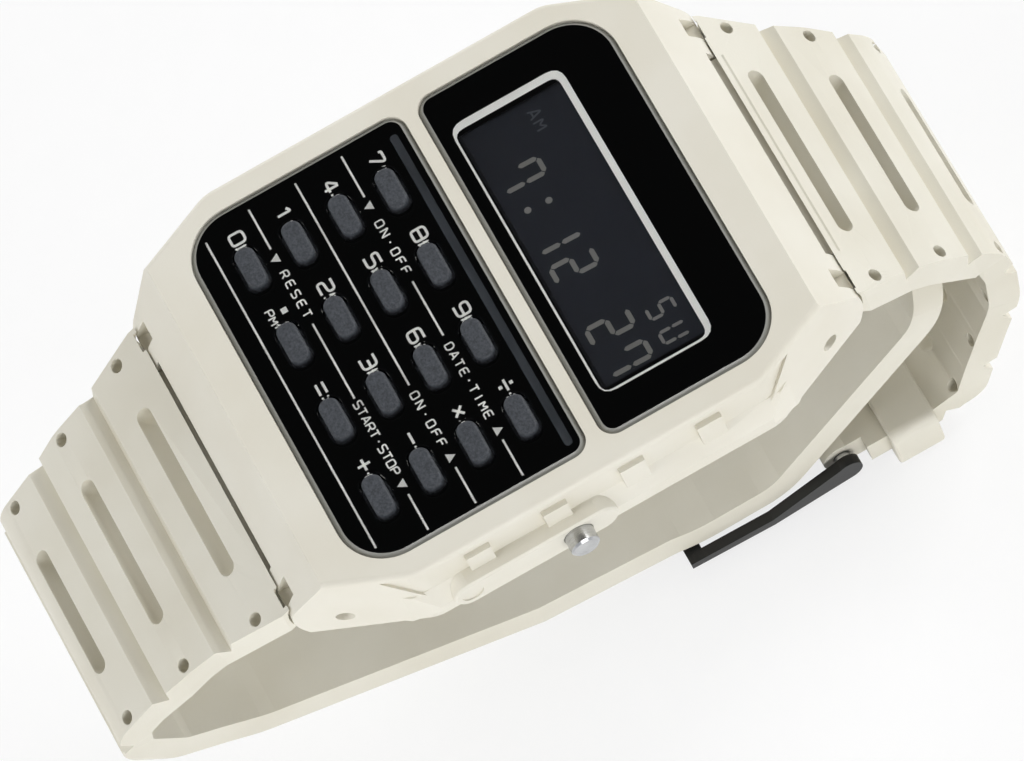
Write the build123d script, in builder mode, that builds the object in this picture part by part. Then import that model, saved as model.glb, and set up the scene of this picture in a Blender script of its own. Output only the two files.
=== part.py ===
# Calculator wristwatch with a resin case, sixteen keys, a dark display and a resin strap.
#
# Units are millimetres. The origin is the centre of the case back's outer face.
# +X points to 3 o'clock, +Y to 12 o'clock and +Z out of the face.
# The strap is drawn closed into a ring, with the tail tucked inside the buckle half.

from build123d import *
import os

os.makedirs("parts", exist_ok=True)

# Running clearances and the overrun that every cut shares
fit_gap = 0.05
seat_gap = 0.1
free_gap = 0.2
cut_over = 1.0

# Case: plan outline, heights and end slopes
case_wall = 2.8
case_straight_half = 13.0
case_end_half_width = 11.85
case_bottom = 0.3
case_top = 8.0
case_corner_radius = 3.0
case_bottom_chamfer = 0.35
case_top_fillet = 0.4
slope_start_y = 18.7
slope_end_y = 21.0
slope_end_z = 4.45

# Spring bars and the strap ends that turn on them
bar_y = 18.4
bar_z = 2.6
bar_radius = 0.75
bar_tip_radius = 0.55
bar_half_length = 12.9
bar_bore_gap = 0.07
lug_pocket_gap = 0.25
lug_side_gap = 0.2
lug_roof_drop = 0.2
end_arc_radius = 3.2
end_arc_gap = 0.15
barrel_radius = 1.6
barrel_half_width = 8.5
neck_half_height = 0.7
neck_reach = 3.7

# Lens recesses and the ledge that the lenses rest on
bezel_width = 1.8
lens_top = 8.0
lens_thickness = 1.0
mask_thickness = 0.1
tape_thickness = 0.1
ledge_thickness = 1.0
opening_wall = 0.9
opening_radius = 1.0
keypad_opening = (-14.1, -0.25)
display_opening = (3.35, 13.2)
divider_width = 1.1
divider_y = 1.7
panel_end_y = 16.1
panel_outer_radius = 3.6
panel_inner_radius = 1.2
lens_chamfer = 0.35
window_left = -10.75
window_right = 10.8
window_low = 3.8
window_high = 11.55

# Side walls: the strip under the bezel, its raised teeth, the ledge below and the button guards
bezel_thickness = 0.7
ledge_root_z = 4.5
strip_depth = 0.25
strip_low_half = 12.2
strip_high_half = 15.4
tooth_pitch = 5.8
tooth_width = 1.85
tooth_height = 2.0
tooth_root = 0.5
tooth_depth = 0.4
tooth_count = 4
ledge_out = 0.7
ledge_edge_z = 3.3
ledge_low_z = 2.6
ledge_foot_inset = 1.5
ledge_straight_half = 12.6
ledge_end_y = 15.1
ledge_end_half_width = 15.1
guard_low_y = -11.6
guard_high_y = 0.8
guard_height = 2.6
guard_out = 1.0
guard_z = 3.3
guard_chamfer = 0.15
guard_mark_radius = 0.8
guard_mark_depth = 0.12

# Keys
key_side_margin = 3.74
key_pitch_y = 3.58
key_grid_x = 0.23
key_grid_y = -7.18
key_length = 3.2
key_width = 1.45
key_corner = 0.66
key_top = 8.4
key_crown = 0.22
key_hole_gap = 0.2
key_flange_side = 0.5
key_flange_thickness = 0.5
key_stem_side = 0.15
key_travel = 0.4
key_hole_rim = 0.12

# Rubber web that carries the keys
web_thickness = 0.4
web_high_y = 1.5
switch_height = 1.5

# Inner room of the case and the case back
room_half_x = 13.4
room_half_y = 14.6
room_radius = 4.0
back_thickness = 0.8
back_ledge = 1.4
back_radius = 2.2
back_edge_chamfer = 0.25
groove_offset = 0.3
groove_width = 0.55
groove_depth = 0.5
screw_inset = 0.1
screw_radius = 0.5
screw_head_radius = 0.85
screw_head_height = 0.4
screw_length = 2.6
screw_slot_width = 0.25
screw_slot_depth = 0.2
screw_slot_turn = 30.0

# Electronic module, from the board downwards and upwards
board_thickness = 0.8
frame_gap = 0.1
frame_open_low = -13.6
frame_open_high = 0.6
frame_side_wall = 1.1
frame_open_radius = 1.8
lcd_side_wall = 1.4
lcd_low_y = 3.5
lcd_high_y = 13.0
lcd_thickness = 1.6
lcd_glass_share = 0.5
lcd_glass_step = 1.1
lcd_top_gap = 0.1
polariser_thickness = 0.15
polariser_inset = 0.5
connector_width = 1.2
connector_inset = 0.3
connector_end_inset = 2.5
pad_radius = 0.9
pad_thickness = 0.04

# Parts under the board
battery_radius = 10.0
battery_height = 1.6
battery_x = 1.2
battery_y = -3.6
battery_rim = 0.6
battery_step = 0.3
clip_width = 5.0
clip_thickness = 0.15
clip_leg_gap = 0.25
contact_length = 3.0
contact_width = 1.2
chip_x = -6.5
chip_y = 10.3
chip_radius = 2.6
chip_height = 0.8
crystal_radius = 0.7
crystal_length = 5.0
crystal_x = 6.0
crystal_y = 12.4
piezo_radius = 3.6
piezo_thickness = 0.3
piezo_x = 6.5
piezo_y = 9.9
sheet_thickness = 0.1

# Push buttons
button_y = -2.3
button_z = guard_z
button_radius = 1.05
button_out = 1.15
button_sunk = 0.1
button_head_length = 2.1
button_stem_radius = 0.6
button_travel = 0.6
button_chamfer = 0.15
button_fit = 0.04
stem_inside = 0.5
seal_depth = 0.2
seal_length = 0.35
seal_setback = 0.25
clip_ring_radius = 1.3
clip_ring_thickness = 0.2
spring_seat_wall = 0.8
spring_wire_radius = 0.08
spring_mean_radius = 0.78
spring_bore_radius = 0.95
spring_turns = 4
frame_button_half = 1.7

# Strap: thickness, taper and pattern
strap_thickness = 2.3
width_split_z = -8.0
segment_pitch = 6.6
first_slot = 2.9
long_lead = 0.9
short_lead = 1.2
slot_width = 1.3
slot_half_lengths = (7.0, 6.0, 5.1, 4.9, 4.9, 4.9)
long_slot_rows = 3
slot_cut = 3.0
groove_cut_width = 1.5
groove_cut_depth = 0.9
dimple_radius = 0.5
dimple_edge = 0.75
tail_hole_radius = 1.0
tail_hole_count = 6
tail_hole_start = 61.0
tail_tip_radius = 4.0
tail_half_width = 8.1
notch_inner_x = 10.1
notch_outer_x = 11.6
notch_inner_y = 20.65
notch_outer_y = 21.7
notch_floor_z = 3.2

# Strap profiles seen from the 3 o'clock side: outer corners as (y, z), and the bend radius of each
long_start = (-20.4, 4.62)
long_corners = (
    ((-29.6, -0.45), 6.0),
    ((-35.9, -5.6), 3.0),
    ((-36.4, -9.2), 3.0),
    ((-33.5, -13.0), 4.0),
    ((-27.5, -16.5), 8.0),
    ((5.0, -27.6), 10.0),
    ((12.2, -27.45), 5.0),
    ((26.4, -15.0), 6.0),
)
long_end = (28.4, -9.4)
short_start = (20.3, 4.83)
short_end = (16.6, -28.2)
short_corners = (
    ((28.1, -2.4), 6.0),
    ((32.0, -7.25), 4.0),
    ((32.6, -11.0), 6.0),
    ((32.2, -15.5), 8.0),
    ((30.5, -19.5), 10.0),
    ((28.9, -23.5), 10.0),
    ((27.5, -27.2), 2.6),
    ((24.0, -28.2), 3.0),
)

# Strap half widths as (half width, y), above and below the height where the plan is split
long_upper_widths = ((12.0, -20.0), (12.0, -22.0), (10.6, -27.0), (10.3, -30.0), (9.8, -32.6), (9.5, -38.0))
long_lower_widths = ((9.5, -38.0), (9.3, -30.0), (9.3, -7.0), (8.1, 3.4), (8.1, 31.0))
short_upper_widths = ((12.0, 20.0), (12.0, 22.0), (10.8, 25.2), (9.8, 30.0), (9.4, 34.0))
short_lower_widths = ((9.4, 34.0), (9.0, 29.0), (8.7, 26.0), (8.7, 18.4), (7.8, 18.4), (7.8, 14.0))

# Buckle, tongue, pin and keeper
pin_y = 16.6
pin_z = -27.2
pin_radius = 0.6
pin_cover = 0.3
pin_hole_gap = 0.02
pin_bore_gap = 0.07
buckle_half_width = 9.1
buckle_bar = 0.8
buckle_front_y = 3.8
buckle_front_width = 1.2
buckle_front_top = -27.8
buckle_front_bottom = -28.5
buckle_belly_y = 10.3
buckle_belly_top = -28.0
buckle_belly_bottom = -28.8
ear_radius = 1.0
buckle_barrel_radius = 1.4
tongue_width = 1.6
tongue_side_gap = 0.2
tongue_room = 2.0
tongue_ring_radius = 1.2
tongue_thickness = 0.6
tongue_tip_y = 3.6
tongue_rest_z = -28.1
tongue_low_z = -27.8
keeper_y = 21.8
keeper_length = 3.6
keeper_wall = 1.0
keeper_gap = 0.12
keeper_corner = 0.8
keeper_strap_half = 8.7

# Heights that follow from the sizes above
lens_bottom = lens_top - lens_thickness
mask_bottom = lens_bottom - mask_thickness
ledge_top = mask_bottom - tape_thickness
room_top = ledge_top - ledge_thickness
web_bottom = room_top - web_thickness
flange_top = mask_bottom - fit_gap
flange_bottom = flange_top - key_flange_thickness
board_top = web_bottom - switch_height
board_bottom = board_top - board_thickness
stem_bottom = board_top + pad_thickness + key_travel + fit_gap
sheet_top = back_thickness + sheet_thickness
battery_bottom = sheet_top + clip_thickness
battery_top = battery_bottom + battery_height
polariser_top = mask_bottom - lcd_top_gap
lcd_top = polariser_top - polariser_thickness
lcd_bottom = lcd_top - lcd_thickness
strip_top = case_top - bezel_thickness

# Plan places that follow from the sizes above
case_half_width = room_half_x + case_wall
panel_half_width = case_half_width - bezel_width
ledge_half_width = case_half_width + ledge_out
back_half_x = room_half_x + back_ledge
back_half_y = room_half_y + back_ledge
screw_x = room_half_x - screw_inset
screw_y = room_half_y - screw_inset
spring_seat_x = room_half_x + spring_seat_wall
opening_half_x = room_half_x - opening_wall
frame_open_half_x = room_half_x - frame_side_wall
lcd_half_x = room_half_x - lcd_side_wall
connector_half_x = lcd_half_x - connector_end_inset
divider_low = divider_y - divider_width / 2
divider_high = divider_y + divider_width / 2
keypad_panel = (-panel_end_y, divider_low, panel_outer_radius, panel_inner_radius)
display_panel = (divider_high, panel_end_y, panel_inner_radius, panel_outer_radius)
guard_x = case_half_width + guard_out
arc_end_y = bar_y + end_arc_radius
case_end_y = arc_end_y + cut_over
strip_x = case_half_width - strip_depth
lug_inner_x = barrel_half_width + lug_side_gap
pocket_radius = barrel_radius + lug_pocket_gap
head_in_x = guard_x + button_out - button_head_length
head_floor_x = head_in_x - button_travel - fit_gap
head_bore_radius = button_radius + button_fit
far = 2 * case_half_width

# Key names by column and row, the lowest row first
key_names = (
    ("0", "1", "4", "7"),
    ("point", "2", "5", "8"),
    ("equals", "3", "6", "9"),
    ("plus", "minus", "times", "divide"),
)
key_pitch_x = 2 * (room_half_x - key_side_margin) / (len(key_names) - 1)
key_places = {}
for column, column_names in enumerate(key_names):
    for row, key_name in enumerate(column_names):
        place_x = key_grid_x + (column - (len(key_names) - 1) / 2) * key_pitch_x
        place_y = key_grid_y + (row - (len(column_names) - 1) / 2) * key_pitch_y
        key_places[key_name] = (place_x, place_y)


def save(piece, name):
    """Label one finished piece and write it to its own file."""
    piece.part.label = name
    export_step(piece.part, f"parts/{name}.step")


def mirrored_outline(half_widths):
    """Closed plan outline from (half width, y) pairs, the same on both sides of the Y axis."""
    right_side = [(half_width, y) for half_width, y in half_widths]
    left_side = [(-half_width, y) for half_width, y in reversed(half_widths)]
    with BuildLine() as outline:
        Polyline(*right_side, *left_side, close=True)
    return outline.line


def panel_sketch(height, panel, grow):
    """Lens outline with two large and two small corners, grown on every side."""
    low, high, low_radius, high_radius = panel
    with BuildSketch(Plane.XY.offset(height)) as outline:
        with Locations((0, (low + high) / 2)):
            Rectangle(2 * (panel_half_width + grow), high - low + 2 * grow)
        fillet(outline.vertices().group_by(Axis.Y)[0], low_radius + grow)
        fillet(outline.vertices().group_by(Axis.Y)[-1], high_radius + grow)
    return outline.sketch


def room_sketch(height, grow):
    """Outline of the inner room, grown on every side."""
    with BuildSketch(Plane.XY.offset(height)) as outline:
        RectangleRounded(2 * (room_half_x + grow), 2 * (room_half_y + grow), room_radius + grow)
    return outline.sketch


def box_sketch(height, half_x, low_y, high_y, radius):
    """Rounded rectangle across the whole width between two values of y."""
    with BuildSketch(Plane.XY.offset(height)) as outline:
        with Locations((0, (low_y + high_y) / 2)):
            RectangleRounded(2 * half_x, high_y - low_y, radius)
    return outline.sketch


def key_sketch(height, centre, grow):
    """Outline of one key, grown on every side."""
    with BuildSketch(Plane.XY.offset(height)) as outline:
        with Locations(centre):
            RectangleRounded(key_length + 2 * grow, key_width + 2 * grow, key_corner + grow)
    return outline.sketch


def disc_sketch(plane, centre, radius):
    """Circle on a plane."""
    with BuildSketch(plane) as outline:
        with Locations(centre):
            Circle(radius)
    return outline.sketch


def case_sketch(height, inset):
    """Plan outline of the case with rounded corners, each side moved inwards by the inset."""
    with BuildSketch(Plane.XY.offset(height)) as outline:
        add(mirrored_outline((
            (case_end_half_width - inset, -case_end_y),
            (case_half_width - inset, -case_straight_half),
            (case_half_width - inset, case_straight_half),
            (case_end_half_width - inset, case_end_y),
        )))
        make_face()
        fillet(outline.vertices().filter_by(lambda v: abs(v.Y) < arc_end_y), case_corner_radius)
    return outline.sketch


def notch_sketch(end):
    """The two small notches across the joint between the case and one strap end."""
    with BuildSketch(Plane.XY.offset(notch_floor_z)) as outline:
        with Locations((0, end * (notch_inner_y + notch_outer_y) / 2)):
            with GridLocations(notch_inner_x + notch_outer_x, 1, 2, 1):
                Rectangle(notch_outer_x - notch_inner_x, notch_outer_y - notch_inner_y)
    return outline.sketch


def side_plane(side, reach):
    """Plane across the X axis at a reach from the middle, facing out of that side."""
    return Plane(origin=(side * reach, 0, 0), x_dir=(0, side, 0), z_dir=(side, 0, 0))


sides = (-1, 1)
bar_spots = ((-bar_y, bar_z), (bar_y, bar_z))
screw_spots = [(x * screw_x, y * screw_y) for x in sides for y in sides]

# Case of resin: bezel, divider, side walls, guards, lugs, lens ledges and the inner room
with BuildPart() as case:
    extrude(case_sketch(case_bottom, 0), amount=case_top - case_bottom)
    chamfer(case.faces().sort_by(Axis.Z)[0].outer_wire().edges(), case_bottom_chamfer)
    fillet(case.faces().sort_by(Axis.Z)[-1].outer_wire().edges(), case_top_fillet)

    # Strip sunk into the side walls under the bezel, running out at the corners
    with BuildSketch(Plane.YZ):
        with BuildLine():
            Polyline(
                (-strip_low_half, ledge_edge_z),
                (strip_low_half, ledge_edge_z),
                (strip_high_half, strip_top),
                (-strip_high_half, strip_top),
                close=True,
            )
        make_face()
    strip_band = extrude(amount=far, both=True, mode=Mode.PRIVATE)
    strip_core = extrude(case_sketch(case_bottom, strip_depth), amount=case_top, mode=Mode.PRIVATE)
    add(strip_band - strip_core, mode=Mode.SUBTRACT)

    # Ledge along each side below the strip, undercut towards the foot and run out at the corners
    with BuildSketch(Plane.XZ):
        with BuildLine():
            Polyline(
                (-strip_x, ledge_root_z),
                (-ledge_half_width, ledge_edge_z),
                (-ledge_half_width, ledge_low_z),
                (ledge_foot_inset - ledge_half_width, case_bottom),
                (ledge_half_width - ledge_foot_inset, case_bottom),
                (ledge_half_width, ledge_low_z),
                (ledge_half_width, ledge_edge_z),
                (strip_x, ledge_root_z),
                close=True,
            )
        make_face()
    ledge_bar = extrude(amount=far, both=True, mode=Mode.PRIVATE)
    with BuildSketch(Plane.XY.offset(case_bottom)):
        add(mirrored_outline((
            (ledge_end_half_width, -ledge_end_y),
            (ledge_half_width, -ledge_straight_half),
            (ledge_half_width, ledge_straight_half),
            (ledge_end_half_width, ledge_end_y),
        )))
        make_face()
    ledge_core = extrude(amount=case_top, mode=Mode.PRIVATE)
    add(ledge_bar & ledge_core)

    # Sloped end faces, and the round lug ends about the spring bars
    with BuildSketch(Plane.YZ) as side_view:
        arc_low_y = bar_y + (end_arc_radius ** 2 - (bar_z - case_bottom) ** 2) ** 0.5
        with BuildLine():
            Polyline((slope_end_y, slope_end_z), (slope_start_y, case_top), (-slope_start_y, case_top),
                     (-slope_end_y, slope_end_z))
            ThreePointArc((-slope_end_y, slope_end_z), (-arc_end_y, bar_z), (-arc_low_y, case_bottom))
            Line((-arc_low_y, case_bottom), (arc_low_y, case_bottom))
            ThreePointArc((arc_low_y, case_bottom), (arc_end_y, bar_z), (slope_end_y, slope_end_z))
        make_face()
    extrude(amount=far, both=True, mode=Mode.INTERSECT)

    # Raised teeth on the strip of each side, and the pill-shaped button guard
    for side in sides:
        with BuildSketch(side_plane(side, strip_x - seat_gap)):
            with Locations((0, ledge_root_z + (tooth_height - tooth_root) / 2)):
                with GridLocations(tooth_pitch, tooth_height, tooth_count, 1):
                    Rectangle(tooth_width, tooth_height + tooth_root)
        extrude(amount=tooth_depth + seat_gap)
        with BuildSketch(side_plane(side, strip_x)):
            with Locations((side * (guard_low_y + guard_high_y) / 2, guard_z)):
                SlotOverall(guard_high_y - guard_low_y, guard_height)
        extrude(amount=guard_x - strip_x)
        chamfer(case.faces().sort_by(Axis.X)[-(side + 1) // 2].edges(), guard_chamfer)
        guard_mark = (side * (guard_low_y + guard_height / 2), guard_z)
        extrude(
            disc_sketch(side_plane(side, guard_x - guard_mark_depth), guard_mark, guard_mark_radius),
            amount=cut_over,
            mode=Mode.SUBTRACT,
        )

    # Lens recesses, and the openings through the ledge below them
    for panel, opening in ((keypad_panel, keypad_opening), (display_panel, display_opening)):
        extrude(
            panel_sketch(ledge_top, panel, fit_gap),
            amount=case_top - ledge_top + cut_over,
            mode=Mode.SUBTRACT,
        )
        extrude(
            box_sketch(room_top, opening_half_x, opening[0], opening[1], opening_radius),
            amount=ledge_thickness,
            mode=Mode.SUBTRACT,
        )

    # Inner room, recess for the case back, gasket groove and screw holes
    extrude(room_sketch(back_thickness, 0), amount=room_top - back_thickness, mode=Mode.SUBTRACT)
    with BuildSketch(Plane.XY.offset(back_thickness)):
        RectangleRounded(2 * (back_half_x + seat_gap), 2 * (back_half_y + seat_gap), back_radius + seat_gap)
    extrude(amount=-back_thickness, mode=Mode.SUBTRACT)
    room_groove = extrude(
        room_sketch(back_thickness, groove_offset + groove_width),
        amount=groove_depth,
        mode=Mode.PRIVATE,
    )
    room_core = extrude(
        room_sketch(back_thickness, groove_offset),
        amount=groove_depth,
        mode=Mode.PRIVATE,
    )
    add(room_groove - room_core, mode=Mode.SUBTRACT)
    with BuildSketch(Plane.XY.offset(back_thickness)):
        with Locations(*screw_spots):
            Circle(screw_radius + fit_gap)
    extrude(amount=screw_length, mode=Mode.SUBTRACT)

    # Stepped holes for the two push buttons
    for side in sides:
        for reach, radius in (
            (head_floor_x, head_bore_radius),
            (spring_seat_x, spring_bore_radius),
            (room_half_x - cut_over, button_stem_radius + fit_gap),
        ):
            extrude(
                disc_sketch(side_plane(side, reach), (side * button_y, button_z), radius),
                amount=guard_x + cut_over - reach,
                mode=Mode.SUBTRACT,
            )

    # Pockets for the strap ends, and the spring bar holes
    for end in sides:
        with BuildSketch(Plane.YZ):
            with Locations((end * bar_y, bar_z)):
                Circle(pocket_radius)
            with BuildLine():
                Polyline(
                    (end * (bar_y - pocket_radius), bar_z),
                    (end * (bar_y - pocket_radius), -cut_over),
                    (end * (arc_end_y + cut_over), -cut_over),
                    (end * (arc_end_y + cut_over), bar_z + pocket_radius - lug_roof_drop),
                    (end * bar_y, bar_z + pocket_radius),
                    (end * bar_y, bar_z),
                    close=True,
                )
            make_face()
        extrude(amount=lug_inner_x, both=True, mode=Mode.SUBTRACT)
        extrude(notch_sketch(end), amount=case_top, mode=Mode.SUBTRACT)
    with BuildSketch(Plane.YZ):
        with Locations(*bar_spots):
            Circle(bar_tip_radius + fit_gap)
    extrude(amount=far, both=True, mode=Mode.SUBTRACT)
save(case, "case")

# Crystal lenses: flat plates with bevelled rims, the lower one holed for the keys
for name, panel in (("display_lens", display_panel), ("keypad_lens", keypad_panel)):
    with BuildPart() as lens:
        extrude(panel_sketch(lens_bottom, panel, 0), amount=lens_thickness)
        chamfer(lens.faces().sort_by(Axis.Z)[-1].edges(), lens_chamfer)
        if panel == keypad_panel:
            for centre in key_places.values():
                extrude(
                    key_sketch(lens_bottom, centre, key_hole_gap),
                    amount=lens_thickness,
                    mode=Mode.SUBTRACT,
                )
            top_wires = lens.faces().filter_by(Plane.XY).sort_by(Axis.Z)[-1].inner_wires()
            chamfer([edge for wire in top_wires for edge in wire.edges()], key_hole_rim)
    save(lens, name)

# Printed films under the lenses: one with the display window, one with the key holes
with BuildPart() as display_mask:
    extrude(panel_sketch(mask_bottom, display_panel, 0), amount=mask_thickness)
    with BuildSketch(Plane.XY.offset(mask_bottom)):
        with Locations(((window_left + window_right) / 2, (window_low + window_high) / 2)):
            Rectangle(window_right - window_left, window_high - window_low)
    extrude(amount=mask_thickness, mode=Mode.SUBTRACT)
save(display_mask, "display_mask")

with BuildPart() as keypad_mask:
    extrude(panel_sketch(mask_bottom, keypad_panel, 0), amount=mask_thickness)
    for centre in key_places.values():
        extrude(
            key_sketch(mask_bottom, centre, key_hole_gap),
            amount=mask_thickness,
            mode=Mode.SUBTRACT,
        )
save(keypad_mask, "keypad_mask")

# Adhesive tapes that hold each lens down on the case ledge
for name, panel, opening in (
    ("display_tape", display_panel, display_opening),
    ("keypad_tape", keypad_panel, keypad_opening),
):
    with BuildPart() as tape:
        extrude(panel_sketch(ledge_top, panel, 0), amount=tape_thickness)
        extrude(
            box_sketch(ledge_top, opening_half_x, opening[0], opening[1], opening_radius),
            amount=tape_thickness,
            mode=Mode.SUBTRACT,
        )
    save(tape, name)

# Sixteen keys: rounded cap, flange that stops it under the film, and a stem over its switch pad
for key_name, centre in key_places.items():
    with BuildPart() as key:
        extrude(key_sketch(flange_bottom, centre, 0), amount=key_top - flange_bottom)
        fillet(key.faces().sort_by(Axis.Z)[-1].edges(), key_crown)
        extrude(key_sketch(flange_bottom, centre, key_flange_side), amount=key_flange_thickness)
        extrude(key_sketch(stem_bottom, centre, -key_stem_side), amount=flange_bottom - stem_bottom)
    save(key, f"key_{key_name}")

# Rubber sheet under the keys, clamped between the ledge and the upper frame
with BuildPart() as key_sheet:
    extrude(room_sketch(web_bottom, -frame_gap), amount=web_thickness)
    extrude(
        box_sketch(web_bottom, room_half_x, -room_half_y, web_high_y, opening_radius),
        amount=web_thickness,
        mode=Mode.INTERSECT,
    )
    for centre in key_places.values():
        extrude(
            key_sketch(web_bottom, centre, fit_gap - key_stem_side),
            amount=web_thickness,
            mode=Mode.SUBTRACT,
        )
save(key_sheet, "key_sheet")

# Upper frame: clamps the key sheet, surrounds the display cell and stands on the board
with BuildPart() as upper_frame:
    extrude(room_sketch(board_top, -frame_gap), amount=room_top - board_top)
    extrude(
        box_sketch(web_bottom, room_half_x, -room_half_y, web_high_y + frame_gap, opening_radius),
        amount=web_thickness,
        mode=Mode.SUBTRACT,
    )
    extrude(
        box_sketch(board_top, frame_open_half_x, frame_open_low, frame_open_high, frame_open_radius),
        amount=room_top - board_top,
        mode=Mode.SUBTRACT,
    )
    extrude(
        box_sketch(board_top, lcd_half_x + frame_gap, lcd_low_y - frame_gap, lcd_high_y + frame_gap,
                   frame_gap),
        amount=room_top - board_top,
        mode=Mode.SUBTRACT,
    )
    with BuildSketch(Plane.XY.offset(board_top)):
        with Locations((0, button_y)):
            Rectangle(2 * room_half_x, 2 * frame_button_half)
    extrude(amount=button_z + clip_ring_radius + free_gap - board_top, mode=Mode.SUBTRACT)
save(upper_frame, "upper_frame")

# Display cell: two glass plates, the lower one longer to reach the connector strips
with BuildPart() as lcd_cell:
    lcd_step_z = lcd_bottom + lcd_thickness * lcd_glass_share
    for height, thickness, high_y in (
        (lcd_bottom, lcd_step_z - lcd_bottom, lcd_high_y),
        (lcd_step_z, lcd_top - lcd_step_z, lcd_high_y - lcd_glass_step),
    ):
        with BuildSketch(Plane.XY.offset(height)):
            with Locations((0, (lcd_low_y + high_y) / 2)):
                Rectangle(2 * lcd_half_x, high_y - lcd_low_y)
        extrude(amount=thickness)
save(lcd_cell, "lcd_cell")

with BuildPart() as lcd_polariser:
    film_low_y = lcd_low_y + polariser_inset
    film_high_y = lcd_high_y - lcd_glass_step - polariser_inset / 2
    extrude(
        box_sketch(lcd_top, lcd_half_x - polariser_inset, film_low_y, film_high_y, frame_gap),
        amount=polariser_thickness,
    )
save(lcd_polariser, "lcd_polariser")

# Rubber connector strips between the board and the display cell
connector_spots = (
    ("lcd_connector_low", lcd_low_y + connector_inset + connector_width / 2),
    ("lcd_connector_high", lcd_high_y - connector_inset - connector_width / 2),
)
for name, strip_y in connector_spots:
    with BuildPart() as connector:
        with BuildSketch(Plane.XY.offset(board_top)):
            with Locations((0, strip_y)):
                Rectangle(2 * connector_half_x, connector_width)
        extrude(amount=lcd_bottom - board_top)
    save(connector, name)

# Circuit board with a raised switch pad under every key, notched for the two button stems
with BuildPart() as circuit_board:
    extrude(room_sketch(board_bottom, -frame_gap), amount=board_thickness)
    with BuildSketch(Plane.XY.offset(board_top)):
        with Locations(*key_places.values()):
            Circle(pad_radius)
    extrude(amount=pad_thickness)
    with BuildSketch(Plane.XY.offset(board_bottom)):
        with Locations((-room_half_x, button_y), (room_half_x, button_y)):
            Rectangle(2 * (button_travel + stem_inside + 2 * free_gap), 2 * frame_button_half)
    extrude(amount=board_thickness, mode=Mode.SUBTRACT)
save(circuit_board, "circuit_board")

with BuildPart() as chip_blob:
    extrude(
        disc_sketch(Plane.XY.offset(board_bottom), (chip_x, chip_y), chip_radius),
        amount=-chip_height,
    )
    fillet(chip_blob.faces().sort_by(Axis.Z)[0].edges(), chip_height / 2)
save(chip_blob, "chip_blob")

with BuildPart() as quartz_crystal:
    crystal_z = board_bottom - crystal_radius
    crystal_plane = Plane(origin=(crystal_x, crystal_y, crystal_z), x_dir=(0, 1, 0), z_dir=(1, 0, 0))
    extrude(disc_sketch(crystal_plane, (0, 0), crystal_radius), amount=crystal_length / 2, both=True)
save(quartz_crystal, "quartz_crystal")

# Lower frame: a solid plate with rooms for the battery, its clip, the chip, the crystal and the sounder
with BuildPart() as lower_frame:
    extrude(room_sketch(sheet_top, -frame_gap), amount=board_bottom - sheet_top)
    with BuildSketch(Plane.XY.offset(sheet_top)):
        with Locations((battery_x, battery_y)):
            Circle(battery_radius + frame_gap)
            Rectangle(2 * (battery_radius + clip_leg_gap + clip_thickness + frame_gap), clip_width + free_gap)
        with Locations((chip_x, chip_y)):
            Circle(chip_radius + free_gap)
        with Locations((crystal_x, crystal_y)):
            Rectangle(crystal_length + free_gap, 2 * (crystal_radius + free_gap))
        with Locations((-room_half_x, button_y), (room_half_x, button_y)):
            Rectangle(2 * (button_travel + stem_inside + 2 * free_gap), 2 * frame_button_half)
    extrude(amount=board_bottom - sheet_top, mode=Mode.SUBTRACT)
    extrude(
        disc_sketch(Plane.XY.offset(sheet_top), (piezo_x, piezo_y), piezo_radius + free_gap),
        amount=piezo_thickness + free_gap,
        mode=Mode.SUBTRACT,
    )
save(lower_frame, "lower_frame")

# Battery: can with a stepped rim, in a bent clip that joins its outer face to the board
with BuildPart() as battery:
    extrude(
        disc_sketch(Plane.XY.offset(battery_bottom), (battery_x, battery_y), battery_radius),
        amount=battery_height - battery_step,
    )
    extrude(
        disc_sketch(Plane.XY.offset(battery_bottom), (battery_x, battery_y), battery_radius - battery_rim),
        amount=battery_height,
    )
    chamfer(battery.faces().sort_by(Axis.Z)[0].edges(), battery_step / 2)
save(battery, "battery")

with BuildPart() as battery_clip:
    clip_half = battery_radius + clip_leg_gap + clip_thickness
    with BuildSketch(Plane.XZ.offset(-battery_y)):
        with BuildLine():
            Polyline(
                (battery_x - clip_half, board_bottom),
                (battery_x - clip_half, sheet_top),
                (battery_x + clip_half, sheet_top),
                (battery_x + clip_half, board_bottom),
                (battery_x + clip_half - clip_thickness, board_bottom),
                (battery_x + clip_half - clip_thickness, battery_bottom),
                (battery_x - clip_half + clip_thickness, battery_bottom),
                (battery_x - clip_half + clip_thickness, board_bottom),
                close=True,
            )
        make_face()
    extrude(amount=clip_width / 2, both=True)
save(battery_clip, "battery_clip")

with BuildPart() as battery_contact:
    with BuildSketch(Plane.XZ.offset(-battery_y)):
        with BuildLine():
            Polyline(
                (battery_x - contact_length / 2, battery_top),
                (battery_x + clip_thickness, battery_top),
                (battery_x + clip_thickness, board_bottom - clip_thickness),
                (battery_x + contact_length / 2, board_bottom - clip_thickness),
                (battery_x + contact_length / 2, board_bottom),
                (battery_x, board_bottom),
                (battery_x, battery_top + clip_thickness),
                (battery_x - contact_length / 2, battery_top + clip_thickness),
                close=True,
            )
        make_face()
    extrude(amount=contact_width / 2, both=True)
save(battery_contact, "battery_contact")

with BuildPart() as piezo_disc:
    extrude(
        disc_sketch(Plane.XY.offset(sheet_top), (piezo_x, piezo_y), piezo_radius),
        amount=piezo_thickness,
    )
save(piezo_disc, "piezo_disc")

# Insulating sheet, gasket, case back and its four slotted screws
with BuildPart() as insulator_sheet:
    extrude(room_sketch(back_thickness, -frame_gap), amount=sheet_thickness)
save(insulator_sheet, "insulator_sheet")

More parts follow.
